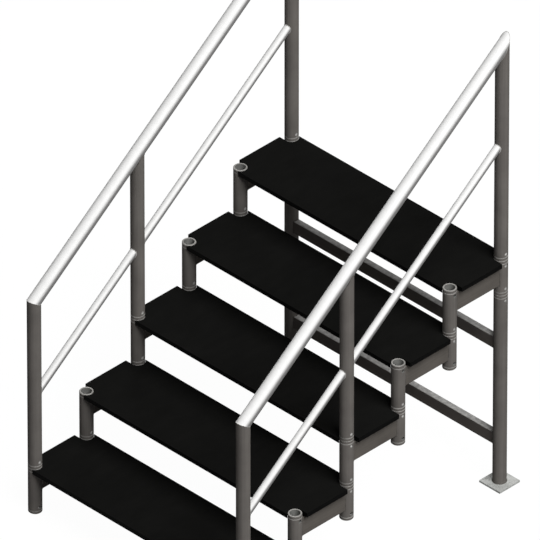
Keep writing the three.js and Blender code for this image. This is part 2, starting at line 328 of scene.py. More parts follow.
def pin_cutter(height):
    """Cross hole along X, with a light countersink at both walls."""
    wide = HOLE_RADIUS + COUNTERSINK
    half = [
        (0, -CUTTER_HALF), (wide, -CUTTER_HALF), (wide, -COUNTERSINK_TOP), (HOLE_RADIUS, -COUNTERSINK_FLOOR),
    ]
    line = half + [(r, -z) for r, z in reversed(half)]
    turned = lathe([(r, z, INSIDE) for r, z in line], HOLE_SIDES)
    return Solid([(z, y, height - x) for x, y, z in turned.verts], turned.faces, turned.tags)


def drilled(solid, heights):
    """The solid with a cross hole at each height."""
    body = to_mesh(solid, "body", 1.0)
    cutters = to_mesh(Solid().joined(*map(pin_cutter, heights)), "cutters", 1.0)
    tool = bpy.data.objects.new("tool", cutters)
    bpy.context.scene.collection.objects.link(tool)
    settings = {"operation": "DIFFERENCE", "object": tool, "solver": "EXACT"}
    result = with_modifiers(body, [("BOOLEAN", settings)])
    bpy.data.objects.remove(tool)
    return from_mesh(result)


def rounded_corners(width, height, corner):
    """Points of a rounded rectangle about the origin, CORNER_POINTS to a corner."""
    a, b = width / 2, height / 2
    corners = [(a, b, 0), (-a, b, 90), (-a, -b, 180), (a, -b, 270)]
    points = []
    for u, v, turn in corners:
        cu, cv = u - math.copysign(corner, u), v - math.copysign(corner, v)
        for i in range(CORNER_POINTS):
            angle = math.radians(turn + 90 * i / (CORNER_POINTS - 1))
            points.append((cu + corner * math.cos(angle), cv + corner * math.sin(angle)))
    return points


def divided(points, step):
    """A closed outline with no run longer than step."""
    out = []
    for (u, v), (s, t) in zip(points, points[1:] + points[:1]):
        count = max(1, math.ceil(math.hypot(s - u, t - v) / step))
        out += [(u + (s - u) * i / count, v + (t - v) * i / count) for i in range(count)]
    return out


def cope(across, start, end, radius):
    """Ends of a bar between two round tubes, for a point at a distance across from their plane."""
    reach = math.sqrt(max(radius**2 - across**2, 0))
    return start + reach, end - reach


def hollow_outline(outline, half_width, low, high, wall):
    """Outline of a bar's hollow, point for point with the outline of the bar."""
    inner = half_width - wall
    return [(max(-inner, min(inner, u)), max(low + wall, min(high - wall, v))) for u, v in outline]


def hollow_bar(outline, wall_outline, start, end):
    """Hollow bar along the second axis, from outlines in the first and the third.
    It is coped to the tubes that stand at its ends."""
    solid = Solid()
    loops = []
    for points, side in ((outline, 0), (outline, 1), (wall_outline, 1), (wall_outline, 0)):
        loop = []
        for u, v in points:
            loop.append(len(solid.verts))
            solid.verts.append((u, cope(u, start, end, TUBE_RADIUS + GAP)[side], v))
        loops.append(loop)
    count = len(outline)
    for k, tag in enumerate((MAIN, CUT, INSIDE, CUT)):
        a, b = loops[k], loops[(k + 1) % 4]
        for i in range(count):
            j = (i + 1) % count
            solid.faces.append([a[i], a[j], b[j], b[i]])
            solid.tags.append(tag)
    return solid


def bead(points, outs, radius):
    """Weld bead on a closed line. Outs are the directions in which it bulges."""
    spots, ways = [], []
    for (p, out), (q, out_q) in zip(zip(points, outs), zip(points[1:] + points[:1], outs[1:] + outs[:1])):
        count = max(1, round((q - p).length / BEAD_STEP))
        for i in range(count):
            spots.append(p.lerp(q, i / count))
            ways.append(out.lerp(out_q, i / count))
    if len(spots) % 2:
        spots.pop()
        ways.pop()
    solid = Solid()
    count = len(spots)
    for i, (spot, out) in enumerate(zip(spots, ways)):
        along = (spots[(i + 1) % count] - spots[i - 1]).normalized()
        out = (out - along * out.dot(along)).normalized()
        side = along.cross(out)
        size = radius * BEAD_RIPPLES[i % 2] * (1 + BEAD_SWELL * math.sin(i * BEAD_SWELL_PACE))
        for k in range(BEAD_SIDES):
            a = 2 * math.pi * (k + 0.5) / BEAD_SIDES
            solid.verts.append(tuple(spot + out * (size * math.cos(a)) + side * (size * math.sin(a))))
    for i in range(count):
        j = (i + 1) % count
        for k in range(BEAD_SIDES):
            n = (k + 1) % BEAD_SIDES
            solid.faces.append(
                [i * BEAD_SIDES + k, i * BEAD_SIDES + n, j * BEAD_SIDES + n, j * BEAD_SIDES + k]
            )
            solid.tags.append(WELD)
    return solid


def bar_beads(outline, start, end):
    """A bead round each end of a bar that is coped to tubes, in the bar's own axes."""
    made = []
    middle = sum(v for _, v in outline) / len(outline)
    for side in (0, 1):
        at = (start, end)[side]
        points, outs = [], []
        for u, v in outline:
            y = cope(u, start, end, TUBE_RADIUS)[side]
            points.append(Vector((u, y, v)))
            away = Vector((u, y - at, 0)).normalized()
            bulge = Vector((u, 0, (v - middle) * BAR_BEAD_LIFT)).normalized()
            outs.append((away + bulge * BAR_BEAD_SPREAD).normalized())
        made.append(bead(points, outs, BEAD))
    return made


def swapped(solid):
    """A solid made along Y turned to lie along X."""
    return Solid([(y, x, z) for x, y, z in solid.verts], solid.faces, solid.tags)


def prism(outline, low, high, top_tag=MAIN, side_tag=MAIN):
    """Closed prism along Z."""
    count = len(outline)
    verts = [(x, y, low) for x, y in outline] + [(x, y, high) for x, y in outline]
    faces = [list(range(count))[::-1], list(range(count, 2 * count))]
    tags = [top_tag, top_tag]
    for i in range(count):
        j = (i + 1) % count
        faces.append([i, j, count + j, count + i])
        tags.append(side_tag)
    return Solid(verts, faces, tags)


def bevelled(solid, width):
    settings = {
        "width": width,
        "segments": BEVEL_SEGMENTS,
        "limit_method": "ANGLE",
        "angle_limit": BEVEL_ANGLE,
        "harden_normals": False,
        "use_clamp_overlap": True,
    }
    return from_mesh(with_modifiers(to_mesh(solid, "body", 1.0), [("BEVEL", settings)]))


def centre_mm(node):
    low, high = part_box(node)
    return (low + high) / 2 / MM


def top_mm(node):
    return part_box(node)[1].z / MM


# Places from the frame
axis_x = {side: centre_mm(f"{side}_front_column_1").x for side in SIDE_NAMES}
front_y = centre_mm("left_front_column_1").y
going = centre_mm("left_front_column_2").y - front_y
rise = top_mm("left_front_column_1")
leg_y = centre_mm("left_leg").y
leg_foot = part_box("left_leg")[0].z / MM
leg_top = len(TREADS) * rise - REAR_LENGTH
pitch = math.atan2(rise, going)
slope = rise / going
spacing = axis_x["right"] - axis_x["left"]
run = len(TREADS) * going
uphill = Vector((0, math.cos(pitch), math.sin(pitch)))


def line_height(at_front, y):
    """Height of a line that runs parallel to the flight, y from the front posts."""
    return rise + at_front + y * slope


def mitre(corner_y, corner_z, other):
    """Height function of the plane that mitres a post to a rail which leaves the corner along other."""
    normal = (Vector((0, 0, -1)) - other).normalized()

    def height(_, y):
        return corner_z + (GAP / 2 - normal.y * (y - corner_y)) / normal.z

    return height


def spokes(radius, sides):
    """Vectors from the axis of a sloping tube to its surface lines."""
    made = []
    for i in range(sides):
        a = 2 * math.pi * i / sides
        made.append(
            Vector((radius * math.cos(a), -radius * math.sin(a) * uphill.z, radius * math.sin(a) * uphill.y))
        )
    return made


def sloping_tube(radius, bore, sides, ends):
    """Tube along the flight with its axis at x = 0. Ends gives the point where a surface line stops,
    from the spoke to that line and the side, 0 for the lower end and 1 for the upper."""
    solid = Solid()
    loops = []
    for size, side in ((radius, 0), (radius, 1), (bore, 1), (bore, 0)):
        loop = []
        for across in spokes(size, sides):
            loop.append(len(solid.verts))
            solid.verts.append(tuple(ends(across, side)))
        loops.append(loop)
    for k, tag in enumerate((MAIN, CUT, INSIDE, CUT)):
        a, b = loops[k], loops[(k + 1) % 4]
        for i in range(sides):
            j = (i + 1) % sides
            solid.faces.append([a[i], a[j], b[j], b[i]])
            solid.tags.append(tag)
    return solid


def to_post(across, post_y, height_at_front, radius, side):
    """Point of a sloping tube's surface line where it meets a vertical tube at post_y."""
    reach = math.sqrt(max(radius**2 - across.x**2, 0))
    target = post_y + (reach if side == 0 else -reach)
    start = Vector((0, 0, line_height(height_at_front, 0))) + across
    return start + uphill * ((target - start.y) / uphill.y)


def to_mitre(across, corner_y, height_at_front, along):
    """Point of a sloping tube's surface line on the plane of its mitre."""
    corner = Vector((0, corner_y, line_height(height_at_front, corner_y)))
    normal = (along - Vector((0, 0, -1))).normalized()
    start = corner + across
    return start + uphill * ((GAP / 2 - normal.dot(across)) / normal.dot(uphill))


def ring_bead(ends, side, radius, sides, size, out_of):
    """Bead where the outside of a sloping tube ends."""
    across = spokes(radius, sides)
    points = [ends(spoke, side) for spoke in across]
    return bead(points, [out_of(point, spoke) for point, spoke in zip(points, across)], size)


def closed_outline(points):
    """Closed outline from (u, v, radius) points, with rounded corners."""
    tagged = [(u, v, radius, 0) for u, v, radius in points]
    return [(u, v) for u, v, _ in fillet([tagged[-1], *tagged, tagged[0]], OUTLINE_STEPS)[1:-1]]


def front_column(foot):
    return drilled(tube(foot, rise, SOCKET_END, SOCKET_END), [PIN_OFFSET, rise - PIN_OFFSET])


def rear_column(is_last):
    """Rear column hung from its joint plane at zero."""
    head = SOCKET_END if is_last else coupler_end(THROAT)
    heights = [PIN_OFFSET - REAR_LENGTH, -PIN_OFFSET] + ([] if is_last else [PIN_OFFSET])
    return drilled(tube((GAP if is_last else 0) - REAR_LENGTH, 0, SOCKET_END, head), heights)


def tube_ring(height, tilt):
    """Points round a tube on the Z axis, with the directions in which a bead there bulges."""
    points, outs = [], []
    for i in range(TUBE_SIDES):
        a = 2 * math.pi * i / TUBE_SIDES
        points.append(Vector((TUBE_RADIUS * math.cos(a), TUBE_RADIUS * math.sin(a), height)))
        outs.append(Vector((math.cos(a), math.sin(a), tilt)).normalized())
    return points, outs


def leg():
    foot_bead = bead(*tube_ring(leg_foot, BEAD_TILT), BEAD)
    blank = tube(leg_foot, leg_top, plain_end(TUBE_BORE), coupler_end(TUBE_BORE))
    return drilled(blank, [leg_top - PIN_OFFSET, leg_top + PIN_OFFSET]).joined(foot_bead)


def post(foot, top):
    blank = cut_tube(foot + GAP, coupler_end(TUBE_BORE), top)
    return drilled(blank, [foot - PIN_OFFSET, foot + PIN_OFFSET])


def coped_top(axis_height):
    """Height function of a post that ends against the underside of the handrail."""

    def height(x, y):
        return axis_height + y * slope - math.sqrt((TUBE_RADIUS + GAP) ** 2 - x**2) / math.cos(pitch)

    return height


def middle_post():
    y = (MIDDLE_TREAD - 1) * going
    top = coped_top(line_height(HANDRAIL_HEIGHT, y))
    points, outs = tube_ring(0, -BEAD_TILT)
    points = [Vector((p.x, p.y, top(p.x, p.y))) for p in points]
    return post(MIDDLE_TREAD * rise, top).joined(bead(points, outs, BEAD))


def handrail():
    def ends(across, side):
        along = uphill if side == 0 else -uphill
        return to_mitre(across, run * side, HANDRAIL_HEIGHT, along)

    def seam(side):
        corner = Vector((0, run * side, line_height(HANDRAIL_HEIGHT, run * side)))
        return ring_bead(
            ends, side, TUBE_RADIUS, TUBE_SIDES, SEAM, lambda point, across: (point - corner).normalized()
        )

    return sloping_tube(TUBE_RADIUS, TUBE_BORE, TUBE_SIDES, ends).joined(seam(0), seam(1))


def knee_rail(start, end):
    def ends(across, side, radius=TUBE_RADIUS + GAP):
        return to_post(across, (start, end)[side], KNEE_HEIGHT, radius, side)

    def seam(side):
        away = Vector((0, 1 if side == 0 else -1, 0))
        return ring_bead(
            lambda across, s: ends(across, s, TUBE_RADIUS),
            side,
            KNEE_RADIUS,
            KNEE_SIDES,
            BEAD,
            lambda point, across: (across.normalized() + away * BEAD_TILT).normalized(),
        )

    return sloping_tube(KNEE_RADIUS, KNEE_BORE, KNEE_SIDES, ends).joined(seam(0), seam(1))


def side_rail():
    """Rail with its seat strip, top of the strip at zero, from the front column's axis."""
    low, high = -STRIP_HEIGHT - RAIL_HEIGHT, -STRIP_HEIGHT
    corners = [(u, v + (low + high) / 2) for u, v in rounded_corners(RAIL_WIDTH, RAIL_HEIGHT, RAIL_CORNER)]
    half, edge_at = STRIP_WIDTH / 2, STRIP_WIDTH / 2 - STRIP_EDGE
    strip = [
        (half, high), (half, -STRIP_EDGE), (edge_at, 0), (-edge_at, 0), (-half, -STRIP_EDGE), (-half, high),
    ]
    outline = divided([*corners[:CORNER_POINTS], *strip, *corners[CORNER_POINTS:]], BAR_STEP)
    wall = hollow_outline(outline, RAIL_WIDTH / 2, low, high, RAIL_WALL)
    bare = divided(corners, BAR_STEP)
    return hollow_bar(outline, wall, 0, going).joined(*bar_beads(bare, 0, going))


def crossbar(width, height):
    outline = divided(rounded_corners(width, height, BAR_CORNER), BAR_STEP)
    wall = hollow_outline(outline, width / 2, -height / 2, height / 2, BAR_WALL)
    return swapped(hollow_bar(outline, wall, 0, spacing).joined(*bar_beads(outline, 0, spacing)))


def notch(x, y, start, end):
    """Points of the round notch about a column, between two angles in degrees."""
    steps = round(abs(end - start) / NOTCH_STEP)
    angles = [math.radians(start + (end - start) * i / steps) for i in range(steps + 1)]
    return [(x + NOTCH_RADIUS * math.cos(a), y + NOTCH_RADIUS * math.sin(a), 0) for a in angles]


def tread_board():
    """Board with a round notch that hugs each column, underside at zero."""
    low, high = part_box("tread_board_1")
    left, right = low.x / MM - axis_x["left"], high.x / MM - axis_x["left"]
    front, back = low.y / MM - front_y, high.y / MM - front_y
    near, far = NOTCH_RADIUS, going - NOTCH_RADIUS
    front_right = notch(spacing, 0, 180 + NOTCH_TIP, 90)
    back_right = notch(spacing, going, 270, 180 - NOTCH_TIP)
    back_left = notch(0, going, NOTCH_TIP, -90)
    front_left = notch(0, 0, 90, -NOTCH_TIP)
    outline = closed_outline(
        [
            (front_left[-1][0], front, 0), (front_right[0][0], front, 0), *front_right,
            (right, near, BOARD_CORNER), (right, far, BOARD_CORNER), *back_right,
            (back_right[-1][0], back, 0), (back_left[0][0], back, 0), *back_left,
            (left, far, BOARD_CORNER), (left, near, BOARD_CORNER), *front_left,
        ]
    )
    return bevelled(prism(outline, 0, BOARD_THICKNESS, MAIN, CUT), BOARD_EDGE)


def cross_channel():
    """Folded channel, open downwards, top at zero."""
    low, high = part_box("cross_channel_1")
    half = (high.y - low.y) / MM / 2
    depth = (high.z - low.z) / MM
    wall, lip = half - CHANNEL_PLATE, half - CHANNEL_LIP
    right = [
        (wall, -CHANNEL_PLATE, CHANNEL_INSIDE), (wall, CHANNEL_PLATE - depth, CHANNEL_INSIDE),
        (lip, CHANNEL_PLATE - depth, CHANNEL_LIP_EDGE), (lip, -depth, CHANNEL_LIP_EDGE),
        (half, -depth, CHANNEL_BEND), (half, 0, CHANNEL_BEND),
    ]
    left = [(-u, v, radius) for u, v, radius in reversed(right)]
    flat = prism(closed_outline([*right, *left]), low.x / MM, high.x / MM)
    return Solid([(z, x, y) for x, y, z in flat.verts], flat.faces, flat.tags)


def base_plate():
    low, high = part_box("left_base_plate")
    half = (high.x - low.x) / MM / 2
    square = [(-half, -half), (half, -half), (half, half), (-half, half)]
    return bevelled(prism(square, 0, (high.z - low.z) / MM), PLATE_EDGE)


def along_x(solid):
    """A solid made along Z turned to lie along X."""
    return Solid([(z, y, -x) for x, y, z in solid.verts], solid.faces, solid.tags)


# End of a pin from its rim to the pull hole, as (radius, height, rounding, tag)
PIN_END = [
    (PIN_RADIUS, PIN_HALF - PIN_EDGE, 0.2, CUT),
    (PIN_RADIUS - PIN_EDGE, PIN_HALF, 0.2, CUT),
    (PULL_HOLE_MOUTH, PIN_HALF, 0, CUT),
    (PULL_HOLE, PIN_HALF - PULL_HOLE_SINK, 0, INSIDE),
    (PULL_HOLE, PIN_FLOOR, 0, INSIDE),
    (0, PIN_FLOOR, 0, INSIDE),
]


def cross_pin():
    """Pin along X with chamfered ends."""
    top = fillet([(PIN_RADIUS, 0, 0, CUT), *PIN_END])
    return along_x(lathe([(r, -z, tag) for r, z, tag in reversed(top[1:])] + top[1:], HOLE_SIDES))


def wall_plugs():
    """Short pins that fill a cross hole in the wall of a tube alone: a coupler passes between them."""
    start = [(0, PLUG_START, 0, CUT), (PIN_RADIUS, PLUG_START, 0, CUT)]
    plug = along_x(lathe(fillet([*start, *PIN_END]), HOLE_SIDES))
    return plug.joined(Solid([(-x, -y, z) for x, y, z in plug.verts], plug.faces, plug.tags))


# Materials
WHITE_TINT = (1.0, 1.0, 1.0)
DARK_TINT = (0.0, 0.0, 0.0)
DRAWN_METALLIC = 0.02
CUT_METALLIC = 0.05
WELD_ROUGHNESS = 0.38
NOISE_ROUGHNESS = 0.55


def new_material(name, metallic, roughness, tint=WHITE_TINT, level=0.05):
    """Material and its shader. Tint colours the gloss at grazing angles, and level is the gloss of what
    isn't metal."""
    material = bpy.data.materials.new(name)
    material.use_nodes = True
    shader = material.node_tree.nodes["Principled BSDF"]
    shader.inputs["Metallic"].default_value = metallic
    shader.inputs["Roughness"].default_value = roughness
    shader.inputs["Specular Tint"].default_value = (*tint, 1)
    shader.inputs["Specular IOR Level"].default_value = level
    return material, shader


def add(tree, kind, inputs=(), **settings):
    """New node. An input is a value, or another node's socket to link."""
    node = tree.nodes.new(kind)
    for key, value in settings.items():
        setattr(node, key, value)
    for key, value in dict(inputs).items():
        if isinstance(value, bpy.types.NodeSocket):
            tree.links.new(value, node.inputs[key])
        else:
            node.inputs[key].default_value = value
    return node


def noise(tree, scale, detail=3.0, stretch=(1, 1, 1), turn=(0, 0, 0), offset=0.0):
    """Noise in the frame's metres, stretched by a scale on each axis after a turn."""
    coordinates = add(tree, "ShaderNodeTexCoord")
    turned = add(
        tree, "ShaderNodeMapping",
        {"Vector": coordinates.outputs["Object"], "Rotation": turn, "Location": (offset, offset, offset)},
    )
    scaled = add(tree, "ShaderNodeMapping", {"Vector": turned.outputs["Vector"], "Scale": stretch})
    return add(
        tree, "ShaderNodeTexNoise",
        {"Vector": scaled.outputs["Vector"], "Scale": scale, "Detail": detail, "Roughness": NOISE_ROUGHNESS},
    ).outputs["Fac"]


def math_node(tree, operation, a, b):
    return add(tree, "ShaderNodeMath", {0: a, 1: b}, operation=operation).outputs[0]


def blended(tree, a, b, share):
    """Share of a and the rest of b."""
    part_a = math_node(tree, "MULTIPLY", a, share)
    return math_node(tree, "ADD", part_a, math_node(tree, "MULTIPLY", b, 1 - share))


def ranged(tree, value, low, high, start=0.3, end=0.7):
    """Value taken from the range start to end over to low to high."""
    return add(
        tree, "ShaderNodeMapRange",
        {"Value": value, "From Min": start, "From Max": end, "To Min": low, "To Max": high},
    ).outputs["Result"]


def ramp(tree, value, stops):
    """Colour from a value and (position, colour) stops."""
    node = tree.nodes.new("ShaderNodeValToRGB")
    tree.links.new(value, node.inputs["Fac"])
    elements = node.color_ramp.elements
    while len(elements) < len(stops):
        elements.new(0.5)
    for element, (position, color) in zip(elements, stops):
        element.position = position
        element.color = (*color, 1)
    return node.outputs["Color"]


def bump(tree, shader, *layers):
    """Bumps one on the other, each (height, strength, distance in metres)."""
    normal = None
    for height, strength, distance in layers:
        node = add(tree, "ShaderNodeBump", {"Height": height, "Strength": strength, "Distance": distance})
        if normal:
            tree.links.new(normal, node.inputs["Normal"])
        normal = node.outputs["Normal"]
    tree.links.new(normal, shader.inputs["Normal"])


def shades(base, spread):
    """The colour darker, as it is and lighter."""
    return [tuple(c * (1 - spread) for c in base), base, tuple(c * (1 + spread) for c in base)]


def mottled(tree, value, base, spread, positions):
    """The colour, darker where the value is low and lighter where it is high."""
    return ramp(tree, value, list(zip(positions, shades(base, spread))))


# Grain as (stretch, turn): small along the bar, so that its lines are long there
GRAIN = 0.012
ALONG_Z = ((1, 1, GRAIN), (0, 0, 0))
ALONG_Y = ((1, GRAIN, 1), (0, 0, 0))
ALONG_X = ((GRAIN, 1, 1), (0, 0, 0))
ALONG_FLIGHT = ((1, GRAIN, 1), (-pitch, 0, 0))


def facing_up(tree, start, end):
    """0 to 1 as the height of the surface normal goes from start to end: the mask of the painted light on
    what faces up.
    """
    facing = add(tree, "ShaderNodeNewGeometry").outputs["Normal"]
    up = add(tree, "ShaderNodeSeparateXYZ", {"Vector": facing}).outputs["Z"]
    return ranged(tree, up, 0.0, 1.0, start, end)


def drawn_metal(name, base, grain, roughness, tint=DARK_TINT, spread=0.16, upper=None):
    """Drawn or extruded aluminium: fine lines along the bar, cloudy patches of handling and small marks.
    Upper is (colour, start, end, mottling): a colour painted on what faces up, the heights of the normal
    between which it comes in, and how much it varies from place to place. That colour is painted light on
    the tops; on the handrails the dark base colour below it is painted shade as well."""
    material, shader = new_material(name, DRAWN_METALLIC, roughness, tint, level=0.0)
    tree = material.node_tree
    stretch, turn = grain
    lines = noise(tree, scale=700, detail=4, stretch=stretch, turn=turn)
    bands = noise(tree, scale=170, detail=2, stretch=stretch, turn=turn, offset=3.1)
    patches = noise(tree, scale=9, detail=4, offset=1.7)
    marks = noise(tree, scale=260, detail=3, offset=5.3)
    mixed = blended(tree, blended(tree, lines, bands, 0.4), patches, 0.45)
    color = mottled(tree, mixed, base, spread, (0.36, 0.5, 0.64))
    if upper:
        painted_light_colour, start, end, mottling = upper
        # Painted light: a lighter colour on the faces whose normal points up.
        clouds = noise(tree, scale=55, detail=3, offset=7.9)
        light = mottled(tree, clouds, painted_light_colour, mottling, (0.38, 0.5, 0.62))
        # Inputs 6 and 7 and output 2 of the Mix node are its colours
        share = facing_up(tree, start, end)
        mix = add(tree, "ShaderNodeMix", {"Factor": share, 6: color, 7: light}, data_type="RGBA")
        color = mix.outputs[2]
    tree.links.new(color, shader.inputs["Base Color"])
    tree.links.new(ranged(tree, patches, roughness - 0.06, roughness + 0.1), shader.inputs["Roughness"])
    bump(tree, shader, (lines, 0.25, 0.00006), (marks, 0.12, 0.0001))
    return material


def cut_metal(name, base, roughness):
    """Turned or sawn aluminium: fine tool marks, brighter than the drawn skin."""
    material, shader = new_material(name, CUT_METALLIC, roughness, DARK_TINT)
    tree = material.node_tree
    fine = noise(tree, scale=900, detail=3)
    patches = noise(tree, scale=30, detail=3, offset=2.2)
    tree.links.new(mottled(tree, patches, base, 0.2, (0.35, 0.5, 0.65)), shader.inputs["Base Color"])
    tree.links.new(ranged(tree, fine, roughness - 0.08, roughness + 0.1), shader.inputs["Roughness"])
    bump(tree, shader, (fine, 0.15, 0.00008))
    return material


def weld_metal(name, base):
    """Weld bead, sooty in places."""
    material, shader = new_material(name, CUT_METALLIC, WELD_ROUGHNESS, (0.1, 0.1, 0.1))
    tree = material.node_tree
    fine = noise(tree, scale=500, detail=3)
    soot = noise(tree, scale=60, detail=3, offset=4.0)
    tree.links.new(mottled(tree, soot, base, 0.3, (0.35, 0.5, 0.65)), shader.inputs["Base Color"])
    bump(tree, shader, (fine, 0.3, 0.0002))
    return material


def board_film():
    """Black film on plywood, with a fine pressed grain, faint rubs and dust."""
    material, shader = new_material("board_film", 0.0, 0.75, level=0.0)
    tree = material.node_tree
    grain = noise(tree, scale=650, detail=3)
    place = add(tree, "ShaderNodeTexCoord").outputs["Object"]
    cells = add(tree, "ShaderNodeTexVoronoi", {"Vector": place, "Scale": 330.0})
    pressed = cells.outputs["Distance"]
    rubs = noise(tree, scale=26, detail=5, stretch=(1, 0.35, 1), offset=2.4)
    wide = noise(tree, scale=5, detail=3, offset=7.7)
    rubbed = [
        (0.34, (0.0080, 0.0080, 0.0076)),
        (0.52, (0.0092, 0.0092, 0.0087)),
        (0.68, (0.0107, 0.0106, 0.0100)),
    ]
    color = ramp(tree, blended(tree, rubs, wide, 0.5), rubbed)
    tree.links.new(color, shader.inputs["Base Color"])
    tree.links.new(ranged(tree, rubs, 0.68, 0.82), shader.inputs["Roughness"])
    bump(tree, shader, (pressed, 0.35, 0.0004), (grain, 0.2, 0.0002))
    return material


def board_edge():
    """Sealed plywood edge: the plies show as faint lines under black paint. Its darkness below the film top
    is partly the black paint and partly painted shade on the board's sides.
    """
    material, shader = new_material("board_edge", 0.0, 0.7, level=0.02)
    tree = material.node_tree
    plies = noise(tree, scale=420, detail=2, stretch=(0.02, 0.02, 1))
    fine = noise(tree, scale=500, detail=3)
    color = ramp(tree, plies, [(0.35, (0.0020, 0.0020, 0.0019)), (0.65, (0.0036, 0.0035, 0.0033))])
    tree.links.new(color, shader.inputs["Base Color"])
    bump(tree, shader, (plies, 0.3, 0.0003), (fine, 0.2, 0.0001))
    return material


def plate_metal():
    """Rough light plate with dark specks."""
    material, shader = new_material("plate_metal", 0.1, 0.5, (0.4, 0.4, 0.4))
    tree = material.node_tree
    specks = noise(tree, scale=230, detail=4)
    patches = noise(tree, scale=28, detail=3, offset=3.3)
    speckled = [
        (0.36, (0.275, 0.28, 0.265)),
        (0.47, (0.485, 0.494, 0.476)),
        (0.62, (0.605, 0.614, 0.595)),
    ]
    color = ramp(tree, blended(tree, specks, patches, 0.6), speckled)
    tree.links.new(color, shader.inputs["Base Color"])
    bump(tree, shader, (specks, 0.4, 0.0003))
    return material


column_skin = drawn_metal("column_skin", (0.180, 0.167, 0.155), ALONG_Z, 0.42)
rail_skin = drawn_metal("rail_skin", (0.140, 0.127, 0.114), ALONG_Y, 0.45)
channel_skin = drawn_metal("channel_skin", (0.13, 0.12, 0.11), ALONG_X, 0.5)
# Crossbars: the much lighter colour on their tops is painted light.
bar_painted_light_skin = drawn_metal(
    "bar_painted_light_skin", (0.145, 0.13, 0.12), ALONG_X, 0.45, upper=((0.475, 0.468, 0.455), 0.25, 0.9, 0.17)
)
# Handrails and knee rails: the bright top is painted light, and the dark base on the flanks and underside is
# painted shade.
guard_painted_light_shade_skin = drawn_metal(
    "guard_painted_light_shade_skin", (0.27, 0.266, 0.262), ALONG_FLIGHT, 0.38, WHITE_TINT, spread=0.03,
    upper=((0.97, 0.967, 0.96), 0.14, 0.47, 0.02),
)
cut_skin = cut_metal("cut_skin", (0.37, 0.36, 0.34), 0.4)
# Rolled grooves and end chamfers: lighter than the drawn skin, partly as burnished metal and partly as
# painted highlight.
rolled_skin = cut_metal("rolled_skin", (0.31, 0.30, 0.285), 0.4)
socket_skin = cut_metal("socket_skin", (0.20, 0.20, 0.19), 0.45)
weld_skin = weld_metal("weld_skin", (0.13, 0.12, 0.11))
bright_weld = weld_metal("bright_weld", (0.5, 0.49, 0.47))
pin_skin = cut_metal("pin_skin", (0.5, 0.49, 0.475), 0.4)
film, edge = board_film(), board_edge()
plate_skin = plate_metal()

# Skins of each kind of piece, in the order of the face tags
COLUMN_SKINS = (column_skin, cut_skin, socket_skin, weld_skin, rolled_skin)
RAIL_SKINS = (rail_skin, cut_skin, socket_skin, weld_skin)
BAR_SKINS = (bar_painted_light_skin, cut_skin, socket_skin, weld_skin)
CHANNEL_SKINS = (channel_skin, cut_skin, socket_skin, weld_skin)
BRIGHT_SKINS = (guard_painted_light_shade_skin, cut_skin, socket_skin, bright_weld)
BOARD_SKINS = (film, edge, edge, edge)
PLATE_SKINS = (plate_skin, plate_skin, plate_skin, weld_skin)
PIN_SKINS = (pin_skin,) * 4


# Pieces
def radial_normals(mesh, x, y):
    """Exact normals on the outside of a vertical tube, so that the cross holes leave no flats."""
    co = np.array([v.co for v in mesh.vertices])
    away = co[:, :2] - np.array([x, y]) * MM
    radius = np.linalg.norm(away, axis=1)
    on_skin = np.abs(radius - TUBE_RADIUS * MM) < SKIN_TOLERANCE * MM
    normals = [(0.0, 0.0, 0.0)] * len(mesh.loops)
    for polygon in mesh.polygons:
        if all(on_skin[i] for i in polygon.vertices):
            for k in polygon.loop_indices:
                i = mesh.loops[k].vertex_index
                normals[k] = (away[i][0] / radius[i], away[i][1] / radius[i], 0.0)
    mesh.normals_split_custom_set(normals)


def piece(name, solid, body, skins, nodes=(), tube_at=None, flat=False):
    """Object from a solid, on its body, in place of the nodes. Skins follow the face tags."""
    mesh = to_mesh(solid, name)
    for skin in skins:
        mesh.materials.append(skin)
    mesh.shade_smooth()
    mesh.set_sharp_from_angle(angle=SHARP_ANGLE)
    if flat:
        mesh = with_modifiers(mesh, [("WEIGHTED_NORMAL", {"keep_sharp": True, "weight": 100})])
        mesh.name = name
    if tube_at:
        radial_normals(mesh, *tube_at)
    made = bpy.data.objects.new(name, mesh)
    bpy.context.scene.collection.objects.link(made)
    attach(made, body)
    if nodes:
        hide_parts(*nodes)
    return made


columns = {
    "floor": front_column(0),
    "front": front_column(GAP),
    "rear": rear_column(False),
    "last": rear_column(True),
}
rail, channel, board = side_rail(), cross_channel(), tread_board()
board_low = -BOARD_THICKNESS
under_board = board_low - GAP
left_x = axis_x["left"]

for k in TREADS:
    y, z = front_y + (k - 1) * going, k * rise
    piece(
        f"tread_{k}", board.moved(left_x, y, z + board_low), "flight", BOARD_SKINS,
        [f"tread_board_{k}"], flat=True,
    )
    piece(
        f"channel_{k}", channel.moved(0, y + going / 2, z + under_board), "flight",
        CHANNEL_SKINS, [f"cross_channel_{k}"], flat=True,
    )
    for side in SIDE_NAMES:
        x = axis_x[side]
        front = columns["floor" if k == 1 else "front"]
        rear = columns["last" if k == len(TREADS) else "rear"]
        piece(
            f"{side}_rail_{k}", rail.moved(x, y, z + under_board), "flight", RAIL_SKINS,
            [f"{side}_side_rail_{k}"], flat=True,
        )
        piece(
            f"{side}_front_tube_{k}", front.moved(x, y, z - rise), "flight", COLUMN_SKINS,
            [f"{side}_front_column_{k}"], tube_at=(x, y),
        )
        piece(
            f"{side}_rear_tube_{k}", rear.moved(x, y + going, z), "flight", COLUMN_SKINS,
            [f"{side}_rear_column_{k}"], tube_at=(x, y + going),
        )

